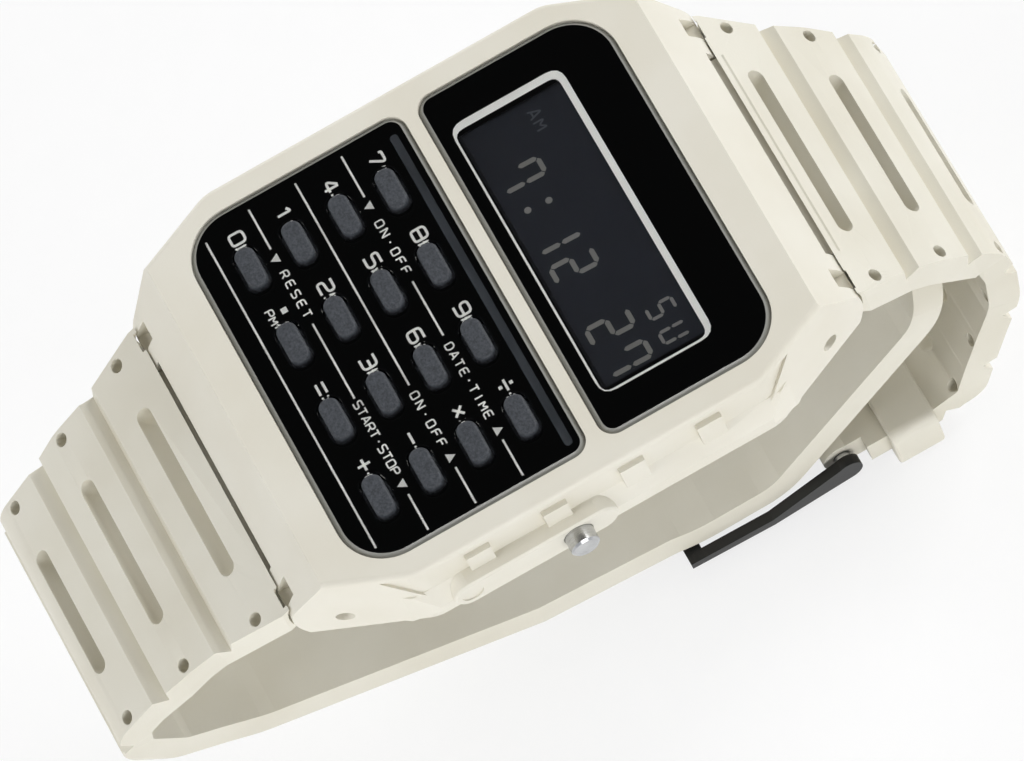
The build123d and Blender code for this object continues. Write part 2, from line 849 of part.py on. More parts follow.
with BuildPart() as case_gasket:
    extrude(room_sketch(back_thickness, groove_offset + groove_width - fit_gap), amount=groove_depth)
    extrude(
        room_sketch(back_thickness, groove_offset + fit_gap),
        amount=groove_depth,
        mode=Mode.SUBTRACT,
    )
save(case_gasket, "case_gasket")

with BuildPart() as case_back:
    with BuildSketch(Plane.XY):
        RectangleRounded(2 * back_half_x, 2 * back_half_y, back_radius)
    extrude(amount=back_thickness)
    chamfer(case_back.faces().sort_by(Axis.Z)[0].edges(), back_edge_chamfer)
    with BuildSketch(Plane.XY):
        with Locations(*screw_spots):
            Circle(screw_radius + fit_gap)
    extrude(amount=back_thickness, mode=Mode.SUBTRACT)
    with BuildSketch(Plane.XY):
        with Locations(*screw_spots):
            Circle(screw_head_radius + fit_gap)
    extrude(amount=screw_head_height, mode=Mode.SUBTRACT)
save(case_back, "case_back")

for number, spot in enumerate(screw_spots, start=1):
    with BuildPart() as screw:
        extrude(disc_sketch(Plane.XY, spot, screw_head_radius), amount=screw_head_height)
        extrude(
            disc_sketch(Plane.XY.offset(screw_head_height), spot, screw_radius),
            amount=screw_length,
        )
        with BuildSketch(Plane.XY):
            with Locations(spot):
                Rectangle(2 * screw_head_radius, screw_slot_width, rotation=screw_slot_turn)
        extrude(amount=screw_slot_depth, mode=Mode.SUBTRACT)
    save(screw, f"back_screw_{number}")

# Push buttons with their seals, retaining rings and return springs
for name, side, head_out_x in (
    ("mode_button", 1, guard_x + button_out),
    ("adjust_button", -1, guard_x - button_sunk),
):
    spot = (side * button_y, button_z)
    stem_end_x = room_half_x - stem_inside
    seal_x = head_in_x + seal_setback
    with BuildPart() as button:
        extrude(
            disc_sketch(side_plane(side, head_in_x), spot, button_radius),
            amount=head_out_x - head_in_x,
        )
        chamfer(button.faces().sort_by(Axis.X)[-(side + 1) // 2].edges(), button_chamfer)
        extrude(
            disc_sketch(side_plane(side, stem_end_x), spot, button_stem_radius),
            amount=head_in_x - stem_end_x,
        )
        with BuildSketch(side_plane(side, seal_x)):
            with Locations(spot):
                Circle(button_radius)
                Circle(button_radius - seal_depth, mode=Mode.SUBTRACT)
        extrude(amount=seal_length, mode=Mode.SUBTRACT)
    save(button, name)

    with BuildPart() as seal:
        with BuildSketch(side_plane(side, seal_x)):
            with Locations(spot):
                Circle(button_radius)
                Circle(button_radius - seal_depth, mode=Mode.SUBTRACT)
        extrude(amount=seal_length)
    save(seal, f"{name}_seal")

    with BuildPart() as ring:
        with BuildSketch(side_plane(side, room_half_x - fit_gap)):
            with Locations(spot):
                Circle(clip_ring_radius)
                Circle(button_stem_radius, mode=Mode.SUBTRACT)
        extrude(amount=-clip_ring_thickness)
    save(ring, f"{name}_clip")

    with BuildPart() as spring:
        coil_low_x = spring_seat_x + spring_wire_radius
        coil_high_x = head_in_x - spring_wire_radius
        coil_centre = (side * coil_low_x, button_y, button_z)
        with BuildLine() as coil:
            Helix(
                pitch=(coil_high_x - coil_low_x) / spring_turns,
                height=coil_high_x - coil_low_x,
                radius=spring_mean_radius,
                center=coil_centre,
                direction=(side, 0, 0),
            )
        with BuildSketch(Plane(origin=coil.line @ 0, z_dir=coil.line % 0)):
            Circle(spring_wire_radius)
        sweep(path=coil.line)
    save(spring, f"{name}_spring")

# Spring bars that join the strap ends to the lugs
for name, spot in (("spring_bar_6", bar_spots[0]), ("spring_bar_12", bar_spots[1])):
    with BuildPart() as bar:
        extrude(disc_sketch(Plane.YZ, spot, bar_radius), amount=barrel_half_width, both=True)
        extrude(disc_sketch(Plane.YZ, spot, bar_tip_radius), amount=bar_half_length, both=True)
    save(bar, name)


def half_width_at(half_widths, y):
    """Half width of a strap at one y, read off its table of pairs."""
    for (width_a, y_a), (width_b, y_b) in zip(half_widths, half_widths[1:]):
        if min(y_a, y_b) <= y < max(y_a, y_b):
            return width_a + (width_b - width_a) * (y - y_a) / (y_b - y_a)
    return half_widths[0][0]


class StrapHalf:
    """One half of the strap: its outer profile, its plan widths and the side its wall lies on."""

    def __init__(self, start, corners, end, wall_side, outward, upper_widths, lower_widths):
        self.points = (start, *[corner for corner, bend in corners], end)
        self.bends = [bend for corner, bend in corners]
        self.wall_side = wall_side
        self.outward = outward
        self.upper_widths = upper_widths
        self.lower_widths = lower_widths
        with BuildLine(Plane.YZ) as path:
            FilletPolyline(*self.points, radius=self.bends)
        self.wire = path.wire()

    def band(self):
        """Band of even thickness, trimmed to the plan outline above and below the split height."""
        with BuildPart() as whole:
            with BuildSketch(Plane.YZ):
                with BuildLine():
                    FilletPolyline(*self.points, radius=self.bends)
                    offset(amount=strap_thickness, side=self.wall_side, closed=True)
                make_face()
            extrude(amount=case_half_width, both=True)
            with BuildSketch(Plane.XY.offset(width_split_z)) as upper_plan:
                add(mirrored_outline(self.upper_widths))
                make_face()
            with BuildSketch(Plane.XY.offset(width_split_z)) as lower_plan:
                add(mirrored_outline(self.lower_widths))
                make_face()
            upper = extrude(upper_plan.sketch, amount=2 * case_half_width, mode=Mode.PRIVATE)
            lower = extrude(lower_plan.sketch, amount=-2 * case_half_width, mode=Mode.PRIVATE)
            add(upper + lower, mode=Mode.INTERSECT)
        return whole.part

    def spot(self, reach):
        """Place and direction on the outer face at a distance along the profile."""
        place = self.wire.position_at(reach, position_mode=PositionMode.LENGTH)
        along = self.wire.tangent_at(reach, position_mode=PositionMode.LENGTH)
        return place, along

    def face_plane(self, reach):
        """Plane that lies on the outer face, with its x along the watch's X axis."""
        place, along = self.spot(reach)
        return Plane(origin=place, x_dir=(1, 0, 0), z_dir=along.cross(Vector(1, 0, 0)))

    def slot_row(self, reach, half_length):
        """Cut one cross slot and its two edge holes."""
        place, along = self.spot(reach)
        widths = self.upper_widths if place.Z > width_split_z else self.lower_widths
        hole_x = half_width_at(widths, place.Y) - dimple_edge
        with BuildSketch(self.face_plane(reach)) as holes:
            SlotOverall(2 * half_length, slot_width)
            with Locations((-hole_x, 0), (hole_x, 0)):
                Circle(dimple_radius)
        return holes.sketch

    def groove(self, reach):
        """Section of one V groove across the outer face."""
        place, along = self.spot(reach)
        with BuildSketch(Plane(origin=place, x_dir=along, z_dir=(1, 0, 0))) as section:
            with BuildLine():
                Polyline(
                    (-groove_cut_width, self.outward * groove_cut_depth),
                    (groove_cut_width, self.outward * groove_cut_depth),
                    (0, -self.outward * groove_cut_depth),
                    close=True,
                )
            make_face()
        return section.sketch

    def case_end(self, end):
        """Barrel and neck that reach the spring bar."""
        with BuildSketch(Plane.YZ) as section:
            with Locations((end * bar_y, bar_z)):
                Circle(barrel_radius)
            with Locations((end * (bar_y + neck_reach / 2), bar_z)):
                Rectangle(neck_reach, 2 * neck_half_height)
        return section.sketch


long_half = StrapHalf(
    long_start, long_corners, long_end, Side.LEFT, -1, long_upper_widths, long_lower_widths
)
short_half = StrapHalf(
    short_start, short_corners, short_end, Side.RIGHT, 1,
    short_upper_widths, short_lower_widths
)

# Long strap half at 6 o'clock: patterned as far as the bend, then smooth with a row of adjusting holes
with BuildPart() as strap_long:
    add(long_half.band())
    with BuildSketch(Plane.YZ):
        with Locations(bar_spots[0]):
            Circle(end_arc_radius + end_arc_gap)
    extrude(amount=case_half_width, both=True, mode=Mode.SUBTRACT)
    extrude(notch_sketch(-1), amount=case_top, mode=Mode.SUBTRACT)
    with BuildSketch(long_half.face_plane(long_half.wire.length)):
        Rectangle(2 * case_half_width, 2 * tail_tip_radius)
        with Locations((0, 2 * tail_tip_radius)):
            RectangleRounded(2 * tail_half_width, 4 * tail_tip_radius, tail_tip_radius, mode=Mode.SUBTRACT)
    extrude(amount=slot_cut, both=True, mode=Mode.SUBTRACT)
    for row in range(long_slot_rows):
        reach = long_lead + first_slot + row * segment_pitch
        extrude(long_half.slot_row(reach, slot_half_lengths[row]), amount=slot_cut, both=True,
                mode=Mode.SUBTRACT)
        extrude(long_half.groove(reach + segment_pitch / 2), amount=case_half_width, both=True,
                mode=Mode.SUBTRACT)
    for row in range(tail_hole_count):
        reach = tail_hole_start + row * segment_pitch
        extrude(disc_sketch(long_half.face_plane(reach), (0, 0), tail_hole_radius), amount=slot_cut,
                both=True, mode=Mode.SUBTRACT)
    extrude(long_half.case_end(-1), amount=barrel_half_width, both=True)
    extrude(disc_sketch(Plane.YZ, bar_spots[0], bar_radius + bar_bore_gap), amount=barrel_half_width,
            both=True, mode=Mode.SUBTRACT)
save(strap_long, "strap_long")

# Short strap half at 12 o'clock: patterned all the way, with a barrel at its end for the buckle pin
with BuildPart() as strap_short:
    add(short_half.band())
    with BuildSketch(Plane.YZ):
        with Locations(bar_spots[1]):
            Circle(end_arc_radius + end_arc_gap)
    extrude(amount=case_half_width, both=True, mode=Mode.SUBTRACT)
    extrude(notch_sketch(1), amount=case_top, mode=Mode.SUBTRACT)
    for row, half_length in enumerate(slot_half_lengths):
        reach = short_lead + first_slot + row * segment_pitch
        extrude(short_half.slot_row(reach, half_length), amount=slot_cut, both=True, mode=Mode.SUBTRACT)
        extrude(short_half.groove(reach + segment_pitch / 2), amount=case_half_width, both=True,
                mode=Mode.SUBTRACT)
    extrude(short_half.case_end(1), amount=barrel_half_width, both=True)
    extrude(disc_sketch(Plane.YZ, bar_spots[1], bar_radius + bar_bore_gap), amount=barrel_half_width,
            both=True, mode=Mode.SUBTRACT)
    extrude(disc_sketch(Plane.YZ, (pin_y, pin_z), buckle_barrel_radius), amount=short_lower_widths[-1][0],
            both=True)
    extrude(disc_sketch(Plane.YZ, (pin_y, pin_z), pin_radius + pin_bore_gap), amount=case_half_width,
            both=True, mode=Mode.SUBTRACT)
    with BuildSketch(Plane.YZ):
        with Locations((pin_y, pin_z)):
            Rectangle(2 * tongue_room, 2 * tongue_room)
    extrude(amount=tongue_width / 2 + tongue_side_gap, both=True, mode=Mode.SUBTRACT)
save(strap_short, "strap_short")

# Buckle frame: two side bars with blind holes for the pin, and a front bar notched for the tongue
with BuildPart() as buckle_frame:
    with BuildSketch(Plane.YZ):
        with BuildLine():
            Polyline(
                (buckle_front_y, buckle_front_bottom),
                (buckle_front_y, buckle_front_top),
                (buckle_belly_y, buckle_belly_top),
                (pin_y, pin_z + ear_radius),
                (pin_y, pin_z - ear_radius),
                (buckle_belly_y, buckle_belly_bottom),
                close=True,
            )
        make_face()
        with Locations((pin_y, pin_z)):
            Circle(ear_radius)
    extrude(amount=buckle_half_width, both=True)
    front_high_y = buckle_front_y + buckle_front_width
    ear_high_y = pin_y + ear_radius + cut_over
    buckle_inner_x = buckle_half_width - buckle_bar
    with BuildSketch(Plane.XY.offset(buckle_belly_bottom - cut_over)):
        with Locations((0, (front_high_y + ear_high_y) / 2)):
            Rectangle(2 * buckle_inner_x, ear_high_y - front_high_y)
    extrude(amount=case_half_width, mode=Mode.SUBTRACT)
    with BuildSketch(Plane.XY.offset(tongue_rest_z)):
        with Locations((0, buckle_front_y)):
            Rectangle(tongue_width + 2 * tongue_side_gap, 2 * (buckle_front_width + cut_over))
    extrude(amount=-cut_over, mode=Mode.SUBTRACT)
    extrude(disc_sketch(Plane.YZ, (pin_y, pin_z), pin_radius + pin_hole_gap),
            amount=buckle_half_width - pin_cover + pin_hole_gap, both=True, mode=Mode.SUBTRACT)
save(buckle_frame, "buckle_frame")

with BuildPart() as buckle_pin:
    extrude(disc_sketch(Plane.YZ, (pin_y, pin_z), pin_radius), amount=buckle_half_width - pin_cover,
            both=True)
save(buckle_pin, "buckle_pin")

# Tongue: ring on the pin, and an arm that rests in the notch of the front bar
with BuildPart() as buckle_tongue:
    with BuildSketch(Plane.YZ):
        arm_top = tongue_rest_z - fit_gap
        knee_y = front_high_y + tongue_thickness
        with BuildLine():
            Polyline(
                (pin_y, tongue_low_z),
                (knee_y, arm_top),
                (tongue_tip_y, arm_top),
                (tongue_tip_y, arm_top - tongue_thickness),
                (knee_y, arm_top - tongue_thickness),
                (pin_y, pin_z - tongue_ring_radius),
                close=True,
            )
        make_face()
        with Locations((pin_y, pin_z)):
            Circle(tongue_ring_radius)
            Circle(pin_radius + pin_bore_gap, mode=Mode.SUBTRACT)
    extrude(amount=tongue_width / 2, both=True)
save(buckle_tongue, "buckle_tongue")

# Keeper loop round the short half, just above its buckle end
with BuildPart() as keeper:
    keeper_half_x = keeper_strap_half + keeper_gap
    keeper_half_z = strap_thickness / 2 + keeper_gap
    keeper_z = short_end[1] + strap_thickness / 2
    with BuildSketch(Plane.XZ.offset(-keeper_y)):
        with Locations((0, keeper_z)):
            RectangleRounded(
                2 * (keeper_half_x + keeper_wall), 2 * (keeper_half_z + keeper_wall), keeper_corner
            )
            Rectangle(2 * keeper_half_x, 2 * keeper_half_z, mode=Mode.SUBTRACT)
    extrude(amount=keeper_length / 2, both=True)
save(keeper, "keeper")
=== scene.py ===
# %% [markdown]
# # A resin calculator watch
# This notebook dresses a finished CAD model of a digital watch with sixteen calculator keys.
# The CAD parts keep their places and sizes. What is added here is what CAD leaves out:
# the finish of each surface, clear lenses, printed marks, display digits, light and a camera.
# All lengths are in metres. +X points to 3 o'clock, +Y to 12 o'clock and +Z out of the face.

# %% Load the frame
from math import cos, radians, sin, sqrt

import bmesh
import bpy
from mathutils import Matrix, Vector


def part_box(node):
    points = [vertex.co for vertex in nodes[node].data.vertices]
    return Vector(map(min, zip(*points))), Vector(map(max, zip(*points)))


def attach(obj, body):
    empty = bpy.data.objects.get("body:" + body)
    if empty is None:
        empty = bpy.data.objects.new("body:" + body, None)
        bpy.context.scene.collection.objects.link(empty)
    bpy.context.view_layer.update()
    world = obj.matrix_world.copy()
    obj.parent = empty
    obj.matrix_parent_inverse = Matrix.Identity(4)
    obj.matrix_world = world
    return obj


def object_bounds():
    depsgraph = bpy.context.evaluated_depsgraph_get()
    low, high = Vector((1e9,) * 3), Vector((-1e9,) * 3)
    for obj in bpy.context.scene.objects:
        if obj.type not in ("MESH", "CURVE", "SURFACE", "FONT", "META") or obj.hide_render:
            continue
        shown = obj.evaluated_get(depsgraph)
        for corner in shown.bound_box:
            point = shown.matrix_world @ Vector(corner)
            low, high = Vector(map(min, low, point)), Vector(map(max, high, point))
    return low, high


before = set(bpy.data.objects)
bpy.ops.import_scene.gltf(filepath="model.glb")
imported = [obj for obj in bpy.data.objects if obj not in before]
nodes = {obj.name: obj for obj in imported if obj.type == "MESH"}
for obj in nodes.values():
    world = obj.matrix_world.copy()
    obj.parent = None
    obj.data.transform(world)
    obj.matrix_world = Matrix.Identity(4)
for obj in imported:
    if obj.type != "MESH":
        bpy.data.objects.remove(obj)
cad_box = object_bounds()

MM = 0.001
print("CAD box in mm:", [[round(v / MM, 2) for v in corner] for corner in cad_box])

# %% [markdown]
# ## Small helpers
# Colours are written as the sRGB hex values that a paint program shows. Blender's shaders
# work in linear light, so one function turns a hex value into a linear colour.
# A second function adds a shader node, sets its inputs and links it, which keeps each
# material short enough to read as a list of layers.

# %% Colour and node helpers
def linear(hex_colour):
    """Linear RGBA of an sRGB hex colour such as 'e2ded1'."""
    channels = [int(hex_colour[i:i + 2], 16) / 255 for i in (0, 2, 4)]
    curve = [c / 12.92 if c <= 0.04045 else ((c + 0.055) / 1.055) ** 2.4 for c in channels]
    return (*curve, 1.0)


def add_node(material, kind, settings=(), inputs=(), links=()):
    """Adds one node. settings and inputs are (name, value) pairs, and links are
    (input, output socket) pairs."""
    node = material.node_tree.nodes.new("ShaderNode" + kind)
    for name, value in settings:
        setattr(node, name, value)
    for name, value in inputs:
        node.inputs[name].default_value = value
    for name, socket in links:
        material.node_tree.links.new(socket, node.inputs[name])
    return node


def new_material(name):
    """An empty node material, with its output node and its Object coordinates."""
    material = bpy.data.materials.new(name)
    material.use_nodes = True
    material.node_tree.nodes.clear()
    output = material.node_tree.nodes.new("ShaderNodeOutputMaterial")
    place = material.node_tree.nodes.new("ShaderNodeTexCoord").outputs["Object"]
    return material, output, place


def show(material, output, shader):
    """Joins the last shader to the material's output."""
    material.node_tree.links.new(shader.outputs[0], output.inputs["Surface"])
    return material


# %% [markdown]
# ## Floor, light and camera
# The watch is seen on a plain white ground in soft light. A wide floor lies under the lowest
# point of the strap. Where the camera sees it, also in a mirror or through glass, it is
# partly self-lit, so that it reads as white while the shadow of the watch stays. The sky is
# a soft grey round the horizon that darkens overhead, and the lamps stand to the sides,
# because the black panels mirror whatever is above them.

# %% Floor and world
FLOOR_DROP = 0.2 * MM
FLOOR_SIZE = 6.0
PAPER_GRAIN = 2.5 * MM
PAPER_GLOW_SHARE = 0.75
scene = bpy.context.scene
scene.view_settings.view_transform = "Standard"

floor_mesh = bmesh.new()
bmesh.ops.create_grid(floor_mesh, x_segments=2, y_segments=2, size=FLOOR_SIZE / 2)
bmesh.ops.translate(floor_mesh, verts=floor_mesh.verts, vec=(0, 0, cad_box[0][2] - FLOOR_DROP))
floor_data = bpy.data.meshes.new("floor")
floor_mesh.to_mesh(floor_data)
floor = bpy.data.objects.new("floor", floor_data)
scene.collection.objects.link(floor)

paper, paper_out, paper_place = new_material("matt_white_paper")
paper_grain = add_node(
    paper, "TexNoise", inputs=[("Scale", 1 / PAPER_GRAIN)], links=[("Vector", paper_place)]
)
paper_mix = add_node(paper, "ValToRGB", links=[("Fac", paper_grain.outputs[0])])
paper_mix.color_ramp.elements[0].color = linear("f4f4f4")
paper_mix.color_ramp.elements[1].color = linear("fbfbfb")
paper_face = add_node(
    paper, "BsdfPrincipled", inputs=[("Roughness", 0.9)],
    links=[("Base Color", paper_mix.outputs[0])],
)
paper_glow = add_node(paper, "Emission", inputs=[("Color", linear("ffffff")), ("Strength", 1.0)])
paper_ray = add_node(paper, "LightPath")
paper_seen = add_node(
    paper, "Math", settings=[("operation", "MAXIMUM")],
    links=[(0, paper_ray.outputs["Is Camera Ray"]), (1, paper_ray.outputs["Is Glossy Ray"])],
)
paper_seen_through = add_node(
    paper, "Math", settings=[("operation", "MAXIMUM")],
    links=[(0, paper_seen.outputs[0]), (1, paper_ray.outputs["Is Transmission Ray"])],
)
paper_share = add_node(
    paper, "Math", settings=[("operation", "MULTIPLY")], inputs=[(1, PAPER_GLOW_SHARE)],
    links=[(0, paper_seen_through.outputs[0])],
)
paper_blend = add_node(
    paper, "MixShader",
    links=[
        ("Fac", paper_share.outputs[0]), (1, paper_face.outputs[0]), (2, paper_glow.outputs[0]),
    ],
)
show(paper, paper_out, paper_blend)
floor_data.materials.append(paper)

SKY_AT_HORIZON = 0.74
SKY_OVERHEAD = 0.06
SKY_DARKENS_FROM = 0.25
SKY_DARKENS_TO = 0.75
world = bpy.data.worlds.new("dim_studio_sky")
scene.world = world
world.use_nodes = True
sky = world.node_tree.nodes["Background"]
sky.inputs["Color"].default_value = linear("f2f4f7")
sky_way = world.node_tree.nodes.new("ShaderNodeTexCoord")
sky_height = world.node_tree.nodes.new("ShaderNodeSeparateXYZ")
sky_fall = world.node_tree.nodes.new("ShaderNodeMapRange")
for name, value in (
    ("From Min", SKY_DARKENS_FROM), ("From Max", SKY_DARKENS_TO),
    ("To Min", SKY_AT_HORIZON), ("To Max", SKY_OVERHEAD),
):
    sky_fall.inputs[name].default_value = value
world.node_tree.links.new(sky_way.outputs["Generated"], sky_height.inputs[0])
world.node_tree.links.new(sky_height.outputs["Z"], sky_fall.inputs["Value"])
world.node_tree.links.new(sky_fall.outputs["Result"], sky.inputs["Strength"])

# %% Soft lamps round the watch
# name, direction from the watch, distance in metres, size in metres, power in watts
LAMPS = (
    ("lamp_12_side", (-0.25, 0.85, 0.62), 0.55, 0.34, 1.8),
    ("lamp_3_side", (0.88, 0.10, 0.30), 0.60, 0.34, 1.5),
    ("lamp_6_side", (0.10, -0.85, 0.60), 0.60, 0.34, 1.4),
    ("lamp_9_side", (-0.92, -0.05, 0.40), 0.60, 0.30, 0.9),
)
for name, direction, distance, size, power in LAMPS:
    lamp = bpy.data.lights.new(name, "AREA")
    lamp.shape = "DISK"
    lamp.size = size
    lamp.energy = power
    lamp_object = bpy.data.objects.new(name, lamp)
    towards = Vector(direction).normalized()
    lamp_object.location = towards * distance
    lamp_object.rotation_euler = towards.to_track_quat("Z", "Y").to_euler()
    scene.collection.objects.link(lamp_object)

# %% [markdown]
# ## Camera
# The photograph was matched by fitting a camera to known points of the case. The fit gives
# the camera's place, its three axes and its focal length in pixels. Blender's camera looks
# along its own -Z with +Y up, so the fitted down and forward axes change sign.

# %% Camera from the fit
IMAGE_WIDTH = 1024
FOCAL_PIXELS = 8535.0
SENSOR = 36.0
CLIP_START = 10 * MM
camera_right = Vector((0.44670, 0.87080, -0.20534))
camera_down = Vector((0.77992, -0.49147, -0.38753))
camera_forward = Vector((-0.43838, 0.01296, -0.89869))
camera_place = Vector((253.80, -8.46, 513.36)) * MM

camera_data = bpy.data.cameras.new("camera")
camera_data.sensor_width = SENSOR
camera_data.lens = FOCAL_PIXELS / IMAGE_WIDTH * SENSOR
camera_data.clip_start = CLIP_START
camera = bpy.data.objects.new("camera", camera_data)
turn = Matrix((camera_right, -camera_down, -camera_forward)).transposed().to_4x4()
camera.matrix_world = Matrix.Translation(camera_place) @ turn
scene.collection.objects.link(camera)
scene.camera = camera

# %% [markdown]
# ## Moulded resin for the case and strap
# The case and strap are injection moulded in cream resin, an even satin skin with a very
# fine spark-eroded grain. Real grain is a few hundredths of a millimetre; it is drawn at
# 0.12 to 0.15 mm so that it shows. A slow, faint change of tone keeps large faces from
# looking like computer plastic. The other plastics and the inks are made by the same
# function, each with its own tones, roughness and grain.

# %% Resin materials
TONE_SIZE = 9.0 * MM
SHADE_UP_TO = 0.35
BASE_FROM = 0.65


def grained_plastic(name, base, shade, roughness, grain_mm, depth_mm):
    """Opaque moulded plastic: two close tones in a slow pattern, and a fine grain as bump."""
    material, output, place = new_material(name)
    tone = add_node(
        material, "TexNoise", inputs=[("Scale", 1 / TONE_SIZE), ("Detail", 3.0)],
        links=[("Vector", place)],
    )
    ramp = add_node(material, "ValToRGB", links=[("Fac", tone.outputs[0])])
    ramp.color_ramp.elements[0].position = SHADE_UP_TO
    ramp.color_ramp.elements[0].color = linear(shade)
    ramp.color_ramp.elements[1].position = BASE_FROM
    ramp.color_ramp.elements[1].color = linear(base)
    grain = add_node(
        material, "TexNoise", inputs=[("Scale", 1 / (grain_mm * MM)), ("Detail", 2.0)],
        links=[("Vector", place)],
    )
    bump = add_node(
        material, "Bump", inputs=[("Strength", 0.5), ("Distance", depth_mm * MM)],
        links=[("Height", grain.outputs[0])],
    )
    shader = add_node(
        material, "BsdfPrincipled", inputs=[("Roughness", roughness), ("IOR", 1.5)],
        links=[("Base Color", ramp.outputs[0]), ("Normal", bump.outputs[0])],
    )
    return show(material, output, shader)


# name, base tone, shade tone, roughness, grain width and grain depth in millimetres
moulded_resin = grained_plastic("moulded_cream_resin", "e4e0d3", "dfdacb", 0.46, 0.12, 0.008)
strap_resin = grained_plastic("soft_cream_strap_resin", "e3dfd1", "dcd7c7", 0.5, 0.15, 0.012)
buckle_nylon = grained_plastic("black_moulded_nylon", "1c1c1d", "151516", 0.42, 0.15, 0.012)
frame_nylon = grained_plastic("dark_module_nylon", "3a3b3d", "323335", 0.5, 0.2, 0.01)
seal_rubber = grained_plastic("black_seal_rubber", "202021", "19191a", 0.7, 0.1, 0.01)
board_laminate = grained_plastic("green_board_laminate", "1e5b3a", "184d31", 0.4, 0.3, 0.01)
epoxy_drop = grained_plastic("black_epoxy_drop", "111112", "0c0c0d", 0.25, 0.6, 0.02)
white_tape = grained_plastic("white_foam_tape", "e9e8e2", "dfded8", 0.8, 0.1, 0.01)
clear_sheet = grained_plastic("milky_insulating_sheet", "d8d6c8", "cfcdbf", 0.35, 0.4, 0.004)

# %% [markdown]
# ## Keys
# The keys are hard rubber-coated plastic, dark grey and speckled: light flecks less than a
# fifth of a millimetre wide sit in a darker skin. A noise pattern pushed through a steep
# ramp gives the flecks, and the same pattern roughens the surface.

# %% Speckled key material
FLECK_SIZE = 0.16 * MM
FLECK_SHADE_UP_TO = 0.38
FLECK_LIGHT_FROM = 0.68
key_coat, key_out, key_place = new_material("speckled_grey_key_coating")
fleck = add_node(
    key_coat, "TexNoise", inputs=[("Scale", 1 / FLECK_SIZE), ("Detail", 4.0), ("Roughness", 0.7)],
    links=[("Vector", key_place)],
)
fleck_ramp = add_node(key_coat, "ValToRGB", links=[("Fac", fleck.outputs[0])])
fleck_ramp.color_ramp.elements[0].position = FLECK_SHADE_UP_TO
fleck_ramp.color_ramp.elements[0].color = linear("2c2f34")
fleck_ramp.color_ramp.elements[1].position = FLECK_LIGHT_FROM
fleck_ramp.color_ramp.elements[1].color = linear("4a4e54")
fleck_bump = add_node(
    key_coat, "Bump", inputs=[("Strength", 0.7), ("Distance", 0.02 * MM)],
    links=[("Height", fleck.outputs[0])],
)
key_skin = add_node(
    key_coat, "BsdfPrincipled", inputs=[("Roughness", 0.6), ("IOR", 1.5)],
    links=[("Base Color", fleck_ramp.outputs[0]), ("Normal", fleck_bump.outputs[0])],
)
show(key_coat, key_out, key_skin)

# %% [markdown]
# ## Metals
# The push buttons and screws are turned stainless steel, so fine rings run round their
# axis. A noise pattern that is squeezed along X is drawn out into such rings. The case
# back is brushed along its length instead, and the battery can is nickel plated.

# %% Steel, nickel and brass
LINE_SHADE_UP_TO = 0.3
LINE_LIGHT_FROM = 0.7


def brushed_metal(name, base, shade, roughness, stretch, line_mm):
    """Metal with fine lines: a noise stretched by the given factors along X, Y and Z."""
    material, output, place = new_material(name)
    lines_at = add_node(
        material, "Mapping", inputs=[("Scale", tuple(s / (line_mm * MM) for s in stretch))],
        links=[("Vector", place)],
    )
    lines = add_node(
        material, "TexNoise", inputs=[("Scale", 1.0), ("Detail", 3.0)],
        links=[("Vector", lines_at.outputs[0])],
    )
    ramp = add_node(material, "ValToRGB", links=[("Fac", lines.outputs[0])])
    ramp.color_ramp.elements[0].position = LINE_SHADE_UP_TO
    ramp.color_ramp.elements[0].color = linear(shade)
    ramp.color_ramp.elements[1].position = LINE_LIGHT_FROM
    ramp.color_ramp.elements[1].color = linear(base)
    bump = add_node(
        material, "Bump", inputs=[("Strength", 0.4), ("Distance", 0.004 * MM)],
        links=[("Height", lines.outputs[0])],
    )
    shader = add_node(
        material, "BsdfPrincipled", inputs=[("Metallic", 1.0), ("Roughness", roughness)],
        links=[("Base Color", ramp.outputs[0]), ("Normal", bump.outputs[0])],
    )
    return show(material, output, shader)


AROUND_X = (1.0, 0.06, 0.06)
ALONG_YZ = (1.0, 0.04, 0.04)
ALONG_CAN = (0.2, 0.2, 1.0)
ALONG_X = (0.05, 1.0, 1.0)
turned_steel = brushed_metal("turned_stainless_steel", "c9cacb", "b4b5b6", 0.24, AROUND_X, 0.08)
brushed_steel = brushed_metal("brushed_stainless_steel", "c3c4c5", "aeafb0", 0.34, ALONG_YZ, 0.08)
nickel_can = brushed_metal("nickel_plated_can", "cfcfca", "bdbdb8", 0.22, ALONG_CAN, 0.3)
piezo_brass = brushed_metal("rolled_piezo_brass", "c9a968", "b5955a", 0.3, ALONG_X, 0.1)
